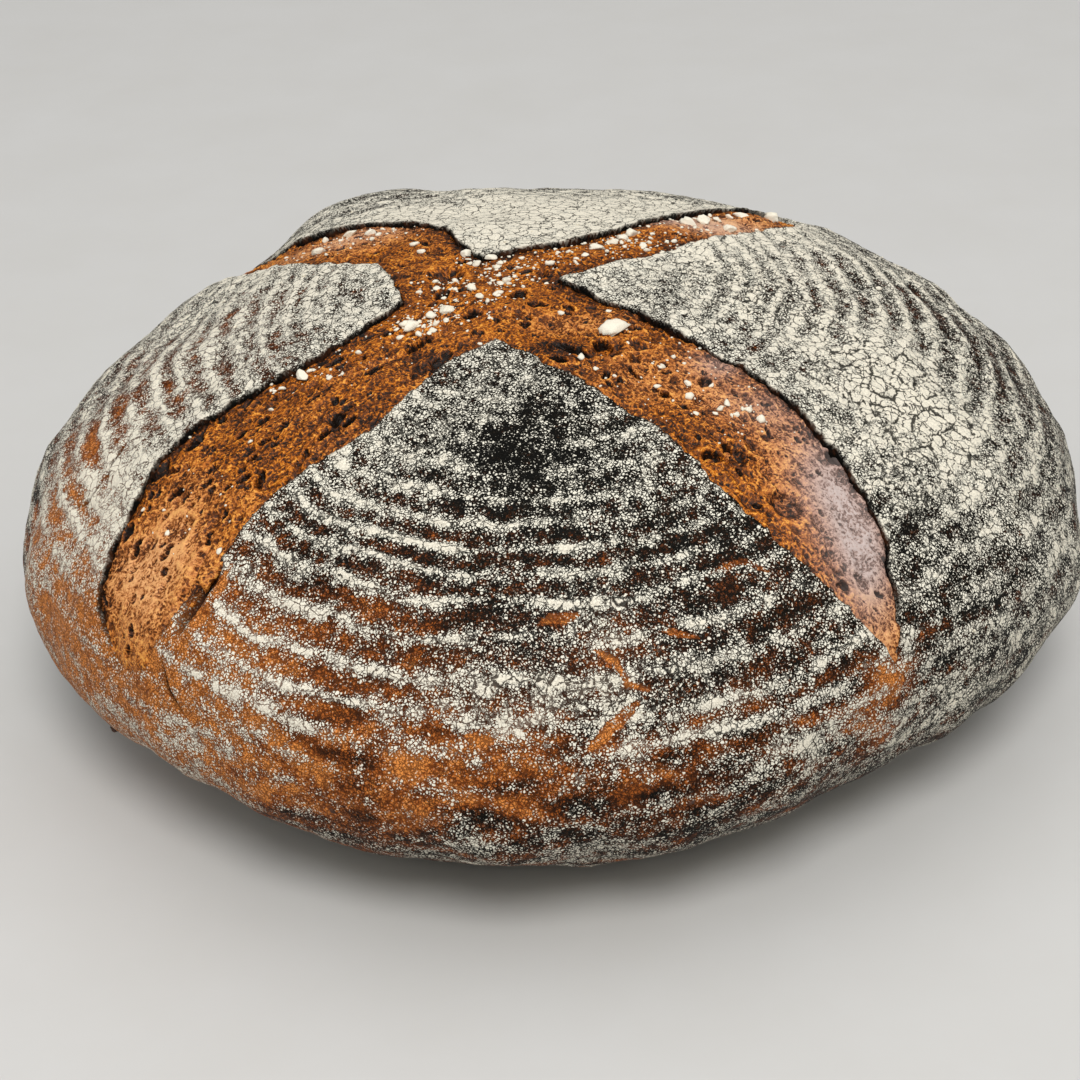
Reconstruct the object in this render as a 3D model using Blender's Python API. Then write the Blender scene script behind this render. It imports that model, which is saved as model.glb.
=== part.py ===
"""A round sourdough loaf, about 280 mm across, scored with a cross and left whole.

The loaf is one solid. It stands on a flat base at z = 0, with its origin under the middle of its
bounding box. It starts as a UV sphere, whose points are laid on a crowned loaf form and then raised
or sunk for the open score: four arms of torn crumb between four petals of crust.

Skin coordinates name places on the crust. They are (x, y) in metres from the top of the loaf,
measured along the skin as if it were peeled off and laid flat, with the loaf's front at -y.
"""

from math import asin, atan2, cos, degrees, exp, hypot, pi, radians, sin, sqrt

import bmesh
import bpy
import numpy as np
from mathutils import Vector

# The loaf's form: a half ellipse for the crown over a cut-off half ellipse for the flank
RADIUS = 0.140  # mean radius at the widest level
HEIGHT = 0.114  # base to the middle of the crown, before any swell
WIDEST_Z = 0.0436  # height of the widest level
BASE_RADIUS = 0.085  # flat spot that the loaf rests on
OVALNESS = 0.012  # how far the outline departs from a circle
OVAL_ANGLE = radians(32)  # direction of the long axis

# Where oven spring pushed the loaf up, or left it low: (x, y, reach in x, reach in y, rise)
SWELLS = [
    (-0.065, 0.096, 0.037, 0.029, 0.0124),
    (-0.102, 0.022, 0.025, 0.026, -0.0042),
    (-0.083, 0.078, 0.016, 0.023, -0.0105),
]

# Where the flank is flatter than round, or fuller: (direction from the top, reach, both in degrees, depth)
FLATS = [
    (226, 17, 0.0046),
    (305, 15, 0.0058),
    (340, 9, -0.0020),
]

# The open score: each arm's middle line and half width, as (x, y, half width) in skin coordinates
FRONT_LEFT_ARM = [
    (-0.0115, -0.014, 0.016),
    (-0.023, -0.024, 0.0162),
    (-0.0345, -0.0325, 0.015),
    (-0.0518, -0.0495, 0.0174),
    (-0.077, -0.062, 0.0195),
    (-0.094, -0.0785, 0.0182),
    (-0.103, -0.089, 0.0150),
    (-0.1085, -0.096, 0.0115),
    (-0.1105, -0.100, 0.0085),
]
FRONT_RIGHT_ARM = [
    (-0.011, -0.0158, 0.015),
    (0.0022, -0.029, 0.0154),
    (0.0205, -0.046, 0.016),
    (0.0388, -0.0615, 0.0168),
    (0.053, -0.078, 0.017),
    (0.066, -0.095, 0.0140),
    (0.0745, -0.106, 0.0095),
    (0.0815, -0.116, 0.0050),
    (0.088, -0.126, 0.0008),
]
BACK_LEFT_ARM = [
    (-0.022, -0.008, 0.014),
    (-0.0315, 0.013, 0.0115),
    (-0.0415, 0.0285, 0.0148),
    (-0.0545, 0.0372, 0.0142),
    (-0.070, 0.0485, 0.0124),
    (-0.087, 0.061, 0.009),
    (-0.101, 0.074, 0.001),
]
BACK_RIGHT_ARM = [
    (-0.008, -0.003, 0.013),
    (0.012, 0.007, 0.010),
    (0.031, 0.021, 0.009),
    (0.046, 0.036, 0.010),
    (0.060, 0.050, 0.009),
    (0.070, 0.056, 0.004),
    (0.076, 0.060, 0.001),
]
ARMS = [FRONT_LEFT_ARM, FRONT_RIGHT_ARM, BACK_LEFT_ARM, BACK_RIGHT_ARM]
CROSSING_X, CROSSING_Y = -0.014, -0.014
ARM_STEPS = 4  # straight steps that a stretch between two of an arm's points is cut into

# The crust's edges along the score
LIP_RISE = 0.0018  # how far the ear of a petal curls up
LIP_REACH = 0.010
WALL_DEPTH = 0.0022  # how far the crumb lies below the skin right under an ear
WALL_REACH = 0.007
FULL_HALF_WIDTH = 0.009  # an arm narrower than this has lower ears and walls
FRONT_PETAL_ANGLE = radians(266)  # the front petal has no ear: the crumb rises to its edge
FRONT_PETAL_HALF_ANGLE = radians(46)
FRONT_PETAL_SHARE = 0.35  # how much of an ear and of a wall is left along the front petal

# Slow unevenness of hand-shaped dough
LUMP_RISE = 0.0008
LUMP_LENGTH = 0.052

# The mesh
SEGMENTS = 116
RINGS = 42
CROWN_RINGS = 35  # rings from the top to the widest level
LEAST_EDGE_REACH = 0.0024  # points this near to the edge of the score are moved onto it
WALL_FOOT = 0.0012  # how far inside the edge the next points end up
COLLECTION = "sourdough_loaf"


def clear_scene():
    for thing in list(bpy.data.objects):
        bpy.data.objects.remove(thing, do_unlink=True)


def meridian():
    """Radius and height along the skin from the top to the edge of the base, and the length so far."""
    flank_depth = WIDEST_Z / sqrt(1 - (BASE_RADIUS / RADIUS) ** 2)
    angle = np.linspace(0, pi / 2 + asin(WIDEST_Z / flank_depth), 1500)
    radius = RADIUS * np.sin(angle)
    reach = np.where(angle < pi / 2, HEIGHT - WIDEST_Z, flank_depth)
    z = WIDEST_Z + reach * np.cos(angle)
    length = np.concatenate([[0], np.cumsum(np.hypot(np.diff(radius), np.diff(z)))])
    return radius, z, length


MERIDIAN_RADIUS, MERIDIAN_Z, MERIDIAN_LENGTH = meridian()
WIDEST_LENGTH = float(MERIDIAN_LENGTH[MERIDIAN_RADIUS.argmax()])
BASE_LENGTH = float(MERIDIAN_LENGTH[-1])


def smooth_arm(points):
    """A Catmull-Rom line through an arm's points, its half width carried along."""
    rows = [np.array(point) for point in points]
    rows = [2 * rows[0] - rows[1]] + rows + [2 * rows[-1] - rows[-2]]
    line = []
    for before, start, end, after in zip(rows, rows[1:], rows[2:], rows[3:]):
        for step in range(ARM_STEPS):
            t = step / ARM_STEPS
            line.append(
                0.5 * (2 * start + (end - before) * t
                       + (2 * before - 5 * start + 4 * end - after) * t**2
                       + (3 * start - before - 3 * end + after) * t**3)
            )
    line.append(rows[-2])
    return np.array(line)


def arm_pieces():
    """Start and end of every straight piece of the four arms."""
    lines = [smooth_arm(arm) for arm in ARMS]
    starts = np.concatenate([line[:-1] for line in lines])
    ends = np.concatenate([line[1:] for line in lines])
    return starts, ends


PIECE_STARTS, PIECE_ENDS = arm_pieces()


def nearest_score(x, y):
    """Distance in skin coordinates to the score's edge, negative inside it, and the half width there."""
    run = PIECE_ENDS - PIECE_STARTS
    across = np.array([x, y]) - PIECE_STARTS[:, :2]
    share = (across * run[:, :2]).sum(1) / (run[:, :2] ** 2).sum(1)
    share = np.clip(share, 0, 1)
    near = across - share[:, None] * run[:, :2]
    half_width = PIECE_STARTS[:, 2] + share * run[:, 2]
    distance = np.hypot(near[:, 0], near[:, 1]) - half_width
    nearest = distance.argmin()
    return float(distance[nearest]), float(half_width[nearest])


def edge_move(distance, reach):
    """Where a point at this distance should be, so that the edge is crisp and the wall is steep."""
    if abs(distance) < reach:
        return 0.0
    if -3 * reach < distance < 0:
        share = (-distance - reach) / (2 * reach)
        return -(WALL_FOOT + share * (3 * reach - WALL_FOOT))
    return distance


def moved_to_edge(x, y):
    """The point slid square to the score's edge if it is near."""
    distance, half_width = nearest_score(x, y)
    reach = max(LEAST_EDGE_REACH, pi * hypot(x, y) / SEGMENTS)
    target = edge_move(distance, min(reach, half_width / 2))
    step = 0.0002
    slope = Vector((nearest_score(x + step, y)[0] - distance, nearest_score(x, y + step)[0] - distance))
    if target == distance or slope.length < step / 2:
        return x, y, distance, half_width
    move = slope.normalized() * (target - distance)
    return x + move.x, y + move.y, target, half_width


def ear_share(x, y, half_width):
    """1 where the crust has curled up into an ear, less along the front petal and at an arm's tip."""
    angle = atan2(y - CROSSING_Y, x - CROSSING_X) - FRONT_PETAL_ANGLE
    angle = abs((angle + pi) % (2 * pi) - pi)
    share = FRONT_PETAL_SHARE if angle < FRONT_PETAL_HALF_ANGLE else 1.0
    return share * min(half_width / FULL_HALF_WIDTH, 1)


def relief(x, y, distance, half_width):
    """How far the skin stands out of the plain form at a place in skin coordinates."""
    share = ear_share(x, y, half_width)
    lump = LUMP_RISE * sin(x / LUMP_LENGTH * 2 * pi + 0.7) * cos(y / LUMP_LENGTH * 2 * pi)
    if distance <= -WALL_FOOT / 2:
        return lump - share * WALL_DEPTH * exp((distance + WALL_FOOT) / WALL_REACH)
    return lump + share * LIP_RISE * exp(-max(distance, 0) / LIP_REACH)


def swell(x, y):
    """How far the loaf stands above the plain form over a place on the ground."""
    rise = 0
    for middle_x, middle_y, reach_x, reach_y, most in SWELLS:
        rise += most * exp(-(((x - middle_x) / reach_x) ** 2) - ((y - middle_y) / reach_y) ** 2)
    return rise


def smooth_step(start, end, value):
    share = min(max((value - start) / (end - start), 0), 1)
    return share * share * (3 - 2 * share)


def flatness(length, angle):
    """How much nearer the loaf's axis its flank is than on the plain form."""
    total = 0
    for direction, reach, depth in FLATS:
        off = (degrees(angle) - direction + 180) % 360 - 180
        total += depth * exp(-((off / reach) ** 2))
    return total * smooth_step(WIDEST_LENGTH - 0.03, WIDEST_LENGTH + 0.012, length)


def form_point(length, angle):
    """Place and outward direction on the plain form, at a length along the skin from the top."""
    radius = np.interp(length, MERIDIAN_LENGTH, MERIDIAN_RADIUS)
    z = np.interp(length, MERIDIAN_LENGTH, MERIDIAN_Z)
    step = 0.001
    run = np.interp(length + step, MERIDIAN_LENGTH, MERIDIAN_RADIUS) - radius
    drop = z - np.interp(length + step, MERIDIAN_LENGTH, MERIDIAN_Z)
    oval = 1 + OVALNESS * cos(2 * (angle - OVAL_ANGLE))
    far = radius * oval - flatness(length, angle)
    x, y = far * cos(angle), far * sin(angle)
    rise = swell(x, y) * min(z / HEIGHT, 1)
    outward = Vector((drop * cos(angle), drop * sin(angle), run)).normalized()
    return Vector((x, y, z + rise)), outward


def skin_length(polar_share):
    """Length along the skin for a ring of the sphere, most rings going to the crown."""
    crown_share = CROWN_RINGS / RINGS
    base_share = (RINGS - 1) / RINGS
    if polar_share <= crown_share:
        return WIDEST_LENGTH * polar_share / crown_share
    share = (polar_share - crown_share) / (base_share - crown_share)
    return WIDEST_LENGTH + (BASE_LENGTH - WIDEST_LENGTH) * share


def loaf_point(direction):
    """Where a point of the unit sphere comes to lie on the loaf."""
    angle = atan2(direction.y, direction.x)
    flat = hypot(direction.x, direction.y)
    polar_share = atan2(flat, direction.z) / pi
    length = skin_length(round(polar_share * RINGS) / RINGS)
    if length > BASE_LENGTH:
        return Vector((0, 0, 0))
    if length >= WIDEST_LENGTH:
        return form_point(length, angle)[0]
    x, y, distance, half_width = moved_to_edge(length * cos(angle), length * sin(angle))
    fade = min((WIDEST_LENGTH - length) / (WIDEST_LENGTH / 8), 1)
    place, outward = form_point(hypot(x, y), atan2(y, x))
    return place + outward * relief(x, y, distance, half_width) * fade


def crust_material():
    material = bpy.data.materials.new("loaf_crust")
    material.use_nodes = True
    shader = material.node_tree.nodes["Principled BSDF"]
    shader.inputs["Base Color"].default_value = (0.27, 0.17, 0.09, 1)
    shader.inputs["Roughness"].default_value = 0.75
    shader.inputs["Metallic"].default_value = 0
    material.diffuse_color = (0.27, 0.17, 0.09, 1)
    return material


def make_loaf(collection):
    mesh = bpy.data.meshes.new("loaf")
    shape = bmesh.new()
    bmesh.ops.create_uvsphere(shape, u_segments=SEGMENTS, v_segments=RINGS, radius=1)
    for vertex in shape.verts:
        vertex.co = loaf_point(vertex.co)
    shape.to_mesh(mesh)
    shape.free()
    mesh.materials.append(crust_material())
    mesh.shade_smooth()
    mesh.set_sharp_from_angle(angle=radians(50))
    loaf = bpy.data.objects.new("loaf", mesh)
    collection.objects.link(loaf)
    return loaf


def main():
    clear_scene()
    collection = bpy.data.collections.new(COLLECTION)
    bpy.context.scene.collection.children.link(collection)
    make_loaf(collection)


main()
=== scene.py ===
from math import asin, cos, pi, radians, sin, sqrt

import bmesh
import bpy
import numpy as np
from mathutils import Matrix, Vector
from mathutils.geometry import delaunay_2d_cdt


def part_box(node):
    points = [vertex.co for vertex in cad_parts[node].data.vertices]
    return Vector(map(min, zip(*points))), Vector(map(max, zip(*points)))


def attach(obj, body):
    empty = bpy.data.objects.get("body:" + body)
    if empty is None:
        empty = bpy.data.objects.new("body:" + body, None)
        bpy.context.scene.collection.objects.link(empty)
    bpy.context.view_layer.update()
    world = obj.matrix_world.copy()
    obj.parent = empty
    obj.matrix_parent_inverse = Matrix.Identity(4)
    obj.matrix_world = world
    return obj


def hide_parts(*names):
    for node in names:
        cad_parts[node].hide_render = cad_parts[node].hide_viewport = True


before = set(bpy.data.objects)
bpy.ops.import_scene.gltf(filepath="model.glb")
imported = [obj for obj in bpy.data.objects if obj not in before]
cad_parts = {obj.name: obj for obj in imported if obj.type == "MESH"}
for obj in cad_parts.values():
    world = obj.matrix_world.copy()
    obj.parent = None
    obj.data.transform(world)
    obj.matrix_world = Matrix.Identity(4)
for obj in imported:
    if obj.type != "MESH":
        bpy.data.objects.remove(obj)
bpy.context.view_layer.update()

# The looks of a round sourdough loaf: a floury crust marked by the cane of its proving basket, a
# cross-shaped score whose crumb has torn open, cracked plates of flour, flour lumps and crumbs.
#
# Skin coordinates name places on the loaf: (x, y) in metres from its top, measured along the skin as
# if it were peeled off and laid flat, with the loaf's front at -y. Relief and colour are worked out
# there and then laid on the loaf's form, which is the CAD model's.

MM = 0.001
LOAF_LOW, LOAF_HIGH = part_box("loaf")

# ---------------------------------------------------------------- the loaf's form

RADIUS = (LOAF_HIGH.x - LOAF_LOW.x) / 2 * 0.9947  # mean radius at the widest level
HEIGHT = (LOAF_HIGH.z - LOAF_LOW.z) * 0.9822  # base to the middle of the crown, before any swell
WIDEST_Z = 0.3825 * HEIGHT
BASE_RADIUS = 0.607 * RADIUS
OVALNESS = 0.012
OVAL_ANGLE = radians(32)

# Where oven spring pushed the loaf up, or left it low: (x, y, reach in x, reach in y, rise)
SWELLS = [
    (-0.065, 0.096, 0.037, 0.029, 0.0124),
    (-0.102, 0.022, 0.025, 0.026, -0.0042),
    (-0.083, 0.078, 0.016, 0.023, -0.0105),
]

# Where the flank is flatter than round, or fuller: (direction from the top, reach, both in degrees, depth)
FLATS = [
    (226, 17, 0.0046),
    (305, 15, 0.0058),
    (340, 9, -0.0020),
]

# The open score: each arm's middle line and half width, as (x, y, half width) in skin coordinates
FRONT_LEFT_ARM = [
    (-0.0115, -0.014, 0.016),
    (-0.023, -0.024, 0.0162),
    (-0.0345, -0.0325, 0.015),
    (-0.0518, -0.0495, 0.0174),
    (-0.077, -0.062, 0.0195),
    (-0.094, -0.0785, 0.0182),
    (-0.103, -0.089, 0.0150),
    (-0.1085, -0.096, 0.0115),
    (-0.1105, -0.100, 0.0085),
]
FRONT_RIGHT_ARM = [
    (-0.011, -0.0158, 0.015),
    (0.0022, -0.029, 0.0154),
    (0.0205, -0.046, 0.016),
    (0.0388, -0.0615, 0.0168),
    (0.053, -0.078, 0.017),
    (0.066, -0.095, 0.0140),
    (0.0745, -0.106, 0.0095),
    (0.0815, -0.116, 0.0050),
    (0.088, -0.126, 0.0008),
]
BACK_LEFT_ARM = [
    (-0.022, -0.008, 0.014),
    (-0.0315, 0.013, 0.0115),
    (-0.0415, 0.0285, 0.0148),
    (-0.0545, 0.0372, 0.0142),
    (-0.070, 0.0485, 0.0124),
    (-0.087, 0.061, 0.009),
    (-0.101, 0.074, 0.001),
]
BACK_RIGHT_ARM = [
    (-0.008, -0.003, 0.013),
    (0.012, 0.007, 0.010),
    (0.031, 0.021, 0.009),
    (0.046, 0.036, 0.010),
    (0.060, 0.050, 0.009),
    (0.070, 0.056, 0.004),
    (0.076, 0.060, 0.001),
]
ARMS = [FRONT_LEFT_ARM, FRONT_RIGHT_ARM, BACK_LEFT_ARM, BACK_RIGHT_ARM]
CROSSING_X, CROSSING_Y = -0.014, -0.014
ARM_STEPS = 4  # straight steps that a stretch between two of an arm's points is cut into

LIP_RISE = 0.0011  # how far the ear of a petal curls up
LIP_REACH = 0.010
WALL_DEPTH = 0.0005  # how far the crumb lies below the skin right under an ear
WALL_REACH = 0.005
BED_DEPTH = 0.0095  # the crust's own surface under the crumb
FULL_HALF_WIDTH = 0.009  # an arm narrower than this has lower ears and walls
FRONT_PETAL_ANGLE = radians(266)
FRONT_PETAL_HALF_ANGLE = radians(46)
FRONT_PETAL_SHARE = 0.35  # how much of an ear and of a wall is left along the front petal
MERGED = [(-112, -101, 12, 9, 1.2)]  # where the crumb runs on into the crust, in millimetres
LUMP_RISE = 0.0008
LUMP_LENGTH = 0.052


def meridian():
    """Radius, height and length along the skin, from the top to the edge of the base."""
    flank_depth = WIDEST_Z / sqrt(1 - (BASE_RADIUS / RADIUS) ** 2)
    angle = np.linspace(0, pi / 2 + asin(WIDEST_Z / flank_depth), 1500)
    radius = RADIUS * np.sin(angle)
    reach = np.where(angle < pi / 2, HEIGHT - WIDEST_Z, flank_depth)
    z = WIDEST_Z + reach * np.cos(angle)
    length = np.concatenate([[0], np.cumsum(np.hypot(np.diff(radius), np.diff(z)))])
    return radius, z, length


MERIDIAN_RADIUS, MERIDIAN_Z, MERIDIAN_LENGTH = meridian()
MERIDIAN_RUN = np.gradient(MERIDIAN_RADIUS, MERIDIAN_LENGTH)
MERIDIAN_DROP = -np.gradient(MERIDIAN_Z, MERIDIAN_LENGTH)
WIDEST_LENGTH = float(MERIDIAN_LENGTH[MERIDIAN_RADIUS.argmax()])
BASE_LENGTH = float(MERIDIAN_LENGTH[-1])


def swell(x, y):
    """How far the loaf stands above the plain form over places on the ground."""
    rise = np.zeros_like(x)
    for middle_x, middle_y, reach_x, reach_y, most in SWELLS:
        rise += most * np.exp(-(((x - middle_x) / reach_x) ** 2) - ((y - middle_y) / reach_y) ** 2)
    return rise


def oval(angle):
    return 1 + OVALNESS * np.cos(2 * (angle - OVAL_ANGLE))


def flatness(length, angle):
    """How much nearer the loaf's axis its flank is than on the plain form."""
    total = np.zeros_like(length)
    for direction, reach, depth in FLATS:
        off = (np.degrees(angle) - direction + 180) % 360 - 180
        total += depth * np.exp(-((off / reach) ** 2))
    return total * smooth_step(WIDEST_LENGTH - 0.03, WIDEST_LENGTH + 0.012, length)


def form(x, y):
    """Places on the plain form, and the directions outward from it, for skin coordinates."""
    length, angle = np.hypot(x, y), np.arctan2(y, x)
    radius = np.interp(length, MERIDIAN_LENGTH, MERIDIAN_RADIUS) * oval(angle) - flatness(length, angle)
    z = np.interp(length, MERIDIAN_LENGTH, MERIDIAN_Z)
    run = np.interp(length, MERIDIAN_LENGTH, MERIDIAN_RUN)
    drop = np.interp(length, MERIDIAN_LENGTH, MERIDIAN_DROP)
    ground_x, ground_y = radius * np.cos(angle), radius * np.sin(angle)
    rise = swell(ground_x, ground_y) * np.minimum(z / HEIGHT, 1)
    place = np.stack([ground_x, ground_y, z + rise], axis=1)
    outward = np.stack([drop * np.cos(angle), drop * np.sin(angle), run], axis=1)
    return place, outward / np.linalg.norm(outward, axis=1)[:, None]


# ---------------------------------------------------------------- noise and soft patches


def hashed(column, row, seed):
    """A number from 0 to 1 for each cell of a grid, the same in every run."""
    mixed = column.astype(np.uint64) * np.uint64(374761393) + row.astype(np.uint64) * np.uint64(668265263)
    mixed = (mixed + np.uint64(seed * 974634777)) & np.uint64(0xFFFFFFFF)
    mixed = ((mixed ^ (mixed >> np.uint64(13))) * np.uint64(1274126177)) & np.uint64(0xFFFFFFFF)
    mixed = mixed ^ (mixed >> np.uint64(16))
    return (mixed & np.uint64(0xFFFFFF)).astype(float) / 0xFFFFFF


def noise(x, y, size, seed):
    """Smooth noise from about -1 to 1, whose lumps are about size across."""
    x, y = x / size, y / size
    column, row = np.floor(x).astype(np.int64), np.floor(y).astype(np.int64)
    across, up = x - column, y - row

    def corner(right, above):
        angle = 2 * pi * hashed(column + right, row + above, seed)
        return np.cos(angle) * (across - right) + np.sin(angle) * (up - above)

    ease_x, ease_y = smooth_step(0, 1, across), smooth_step(0, 1, up)
    low = corner(0, 0) * (1 - ease_x) + corner(1, 0) * ease_x
    high = corner(0, 1) * (1 - ease_x) + corner(1, 1) * ease_x
    return 1.5 * (low * (1 - ease_y) + high * ease_y)


def ridges(x, y, size, seed):
    """Noise from about 0 to 1 with narrow crests that wander and branch."""
    return 1 - np.minimum(2 * np.abs(noise(x, y, size, seed)), 1)


def cells(x, y, size, seed):
    """How far the nearest border in an uneven net of cells is, in cells, and the cell's own number."""
    x, y = x / size, y / size
    column, row = np.floor(x).astype(np.int64), np.floor(y).astype(np.int64)
    near, far = np.full((3,) + x.shape, 9.0), np.full((3,) + x.shape, 9.0)
    own = np.zeros_like(x)
    for right in (-1, 0, 1):
        for above in (-1, 0, 1):
            middle_x = column + right + hashed(column + right, row + above, seed)
            middle_y = row + above + hashed(column + right, row + above, seed + 1)
            found = np.stack([np.hypot(middle_x - x, middle_y - y), middle_x, middle_y])
            nearest = found[0] < near[0]
            far = np.where(nearest, near, np.where(found[0] < far[0], found, far))
            near = np.where(nearest, found, near)
            own = np.where(nearest, hashed(column + right, row + above, seed + 2), own)
    apart = np.hypot(near[1] - far[1], near[2] - far[2])
    return (far[0] ** 2 - near[0] ** 2) / np.maximum(2 * apart, 0.05), own


def smooth_step(start, end, value):
    share = np.clip((value - start) / (end - start), 0, 1)
    return share * share * (3 - 2 * share)


def patches(x, y, places):
    """The sum of soft ovals, each (middle x, middle y, reach x, reach y, amount), in millimetres."""
    total = np.zeros_like(x)
    for middle_x, middle_y, reach_x, reach_y, amount in places:
        far = ((x - middle_x * MM) / (reach_x * MM)) ** 2 + ((y - middle_y * MM) / (reach_y * MM)) ** 2
        total += amount * np.exp(-far)
    return total


def line_distance(x, y, points):
    """Distance in metres to a line through points given in millimetres, and the share along it."""
    best, along, done = np.full_like(x, 9.0), np.zeros_like(x), 0.0
    points = np.array(points, float) * MM
    lengths = np.linalg.norm(np.diff(points, axis=0), axis=1)
    for start, end, length in zip(points, points[1:], lengths):
        run = (end - start) / length
        share = np.clip((x - start[0]) * run[0] + (y - start[1]) * run[1], 0, length)
        far = np.hypot(x - start[0] - share * run[0], y - start[1] - share * run[1])
        nearer = far < best
        best = np.where(nearer, far, best)
        along = np.where(nearer, (done + share) / lengths.sum(), along)
        done += length
    return best, along


# ---------------------------------------------------------------- the score


def smooth_arm(points):
    """A Catmull-Rom line through an arm's points, its half width carried along."""
    rows = [np.array(point) for point in points]
    rows = [2 * rows[0] - rows[1]] + rows + [2 * rows[-1] - rows[-2]]
    line = []
    for before, start, end, after in zip(rows, rows[1:], rows[2:], rows[3:]):
        for step in range(ARM_STEPS):
            t = step / ARM_STEPS
            line.append(
                0.5 * (2 * start + (end - before) * t
                       + (2 * before - 5 * start + 4 * end - after) * t**2
                       + (3 * start - before - 3 * end + after) * t**3)
            )
    line.append(rows[-2])
    return np.array(line)


ARM_LINES = [smooth_arm(arm) for arm in ARMS]
PIECE_STARTS = np.concatenate([line[:-1] for line in ARM_LINES])
PIECE_ENDS = np.concatenate([line[1:] for line in ARM_LINES])
EDGE_WOBBLES = [(0.0075, 0.0011, 11), (0.0026, 0.0005, 12), (0.0012, 0.0002, 13)]  # size, reach, seed


def score_distance(x, y):
    """Distance in skin coordinates to the score's torn edge, negative inside, and the half width."""
    run = PIECE_ENDS - PIECE_STARTS
    squared = (run[:, :2] ** 2).sum(1)
    best, width = np.full_like(x, 9.0), np.zeros_like(x)
    for start, step, length in zip(PIECE_STARTS, run, squared):
        share = np.clip(((x - start[0]) * step[0] + (y - start[1]) * step[1]) / length, 0, 1)
        half_width = start[2] + share * step[2]
        far = np.hypot(x - start[0] - share * step[0], y - start[1] - share * step[1]) - half_width
        nearer = far < best
        best, width = np.where(nearer, far, best), np.where(nearer, half_width, width)
    for size, reach, seed in EDGE_WOBBLES:
        best = best + reach * noise(x, y, size, seed)
    return best, width


def away_from_score(x, y):
    """The direction in skin coordinates that leads away from the score."""
    step = 0.0003
    here = score_distance(x, y)[0]
    slope = np.stack(
        [score_distance(x + step, y)[0] - here, score_distance(x, y + step)[0] - here], axis=1
    )
    return slope / np.maximum(np.linalg.norm(slope, axis=1), 1e-9)[:, None]


def open_share(half_width):
    """1 where the score is open wide, falling to 0 at an arm's tip."""
    return np.clip(half_width / FULL_HALF_WIDTH, 0, 1)


def merged(x, y):
    """1 where crumb and crust run into each other with no edge, 0 elsewhere."""
    return np.clip(patches(x, y, MERGED), 0, 1)


def ear_share(x, y, half_width):
    """1 where the crust has curled up into an ear, less along the front petal and at an arm's tip."""
    angle = np.arctan2(y - CROSSING_Y, x - CROSSING_X) - FRONT_PETAL_ANGLE
    angle = np.abs((angle + pi) % (2 * pi) - pi)
    inside = smooth_step(FRONT_PETAL_HALF_ANGLE + 0.03, FRONT_PETAL_HALF_ANGLE - 0.03, angle)
    share = (1 - (1 - FRONT_PETAL_SHARE) * inside) * open_share(half_width)
    return share * (1 - merged(x, y))


def lumps(x, y):
    return LUMP_RISE * np.sin(x / LUMP_LENGTH * 2 * pi + 0.7) * np.cos(y / LUMP_LENGTH * 2 * pi)


# ---------------------------------------------------------------- the crust's relief and looks

# The floury ridges that the basket's cane left, in millimetres: the front petal's from a point in
# front of the top, where the dough slid forward, the other petals' from the top itself
FRONT_CENTRE_Y = -20
FRONT_RIDGES = [28, 35, 42, 49, 57, 65, 73, 80, 86.5, 93, 100, 109, 118.5, 127, 134.5, 141.5, 149, 157]
OUTER_RIDGES = [31, 38, 44, 50, 55.5, 61, 67, 74, 81, 88.5, 96, 103.5, 112, 120.5, 128.5, 137, 146, 155, 164]
FRONT_DIRECTIONS = (222, 238, 297, 312)  # the front petal's rings begin, are full, and end again here
RING_DEPTH = 0.0008
RING_BASE = 0.27
RING_PATCHES = [
    (-52, -104, 34, 22, 0.70), (5, -108, 34, 12, 0.30), (-30, -135, 60, 12, 0.25), (45, -118, 26, 16, 0.25),
    (-98, -8, 40, 34, 0.50), (112, 5, 26, 60, 0.50), (66, 4, 26, 28, 0.50), (92, -44, 24, 24, -0.4),
    (0, 40, 60, 30, -0.25), (-5, -62, 22, 20, -0.20), (-126, -50, 16, 26, 0.3),
]
UNEVENNESS = [(0.019, 0.00055, 31), (0.0075, 0.00026, 32), (0.0034, 0.00014, 33), (0.0019, 0.00008, 34)]

# Splits and folds in the crust: (points in millimetres, half width, depth)
CREASES = [
    ([(-107, -32), (-110, -37), (-114, -43), (-115, -50)], 0.6, 1.6),
    ([(-114, -44), (-121, -49), (-127, -47)], 0.5, 0.8),
    ([(-80, -91), (-86, -97.5), (-91, -102), (-95, -106)], 1.7, 3.0),
    ([(-101, -108), (-103, -116), (-102, -124)], 0.7, 1.0),
]

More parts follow.
